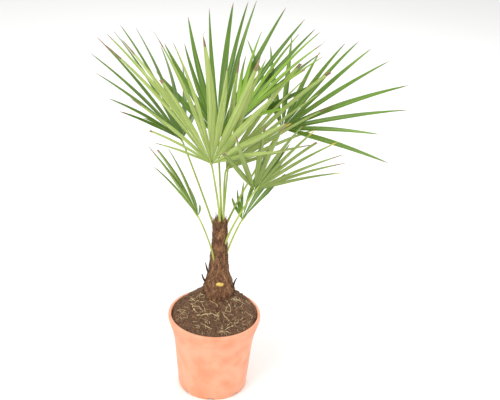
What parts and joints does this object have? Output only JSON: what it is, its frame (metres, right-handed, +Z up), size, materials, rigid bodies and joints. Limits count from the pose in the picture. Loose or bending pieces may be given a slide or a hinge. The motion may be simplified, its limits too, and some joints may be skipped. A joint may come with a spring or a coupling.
{
  "type": "potted windmill palm",
  "caption": "Young windmill palm: fans of stiff narrow segments on thin stalks over a short fibre-wrapped trunk, rooted in a round terracotta-coloured plastic pot",
  "frame": {"origin": "middle of the pot's flat underside", "axes": "+Z up the plant, -Y towards the viewer of the picture, +X to that viewer's right"},
  "size_m": [0.7841, 0.6397, 1.0005],
  "materials": {
    "pot": "matte moulded plastic, terracotta colour",
    "soil": "crumbly potting compost",
    "trunk": "rough woven leaf-base fibre",
    "stub": "dry cut stalk ends",
    "petiole": "satin green stalk",
    "frond": "satin pleated leaf"
  },
  "bodies": {
    "root": {"pot": "pot", "soil": "soil", "trunk": "trunk", "stub_front": "stub", "stub_right": "stub", "stub_left_upper": "stub", "stub_left_lower": "stub", "petiole_front": "petiole", "petiole_front_right": "petiole", "petiole_right": "petiole", "petiole_left": "petiole", "petiole_left_low": "petiole", "petiole_right_low": "petiole", "petiole_back": "petiole", "petiole_inner": "petiole", "petiole_right_back": "petiole", "frond_front": "frond", "frond_front_right": "frond", "frond_right": "frond", "frond_left": "frond", "frond_left_low": "frond", "frond_right_low": "frond", "frond_back": "frond", "frond_inner": "frond", "frond_right_back": "frond"}
  },
  "joints": []
}
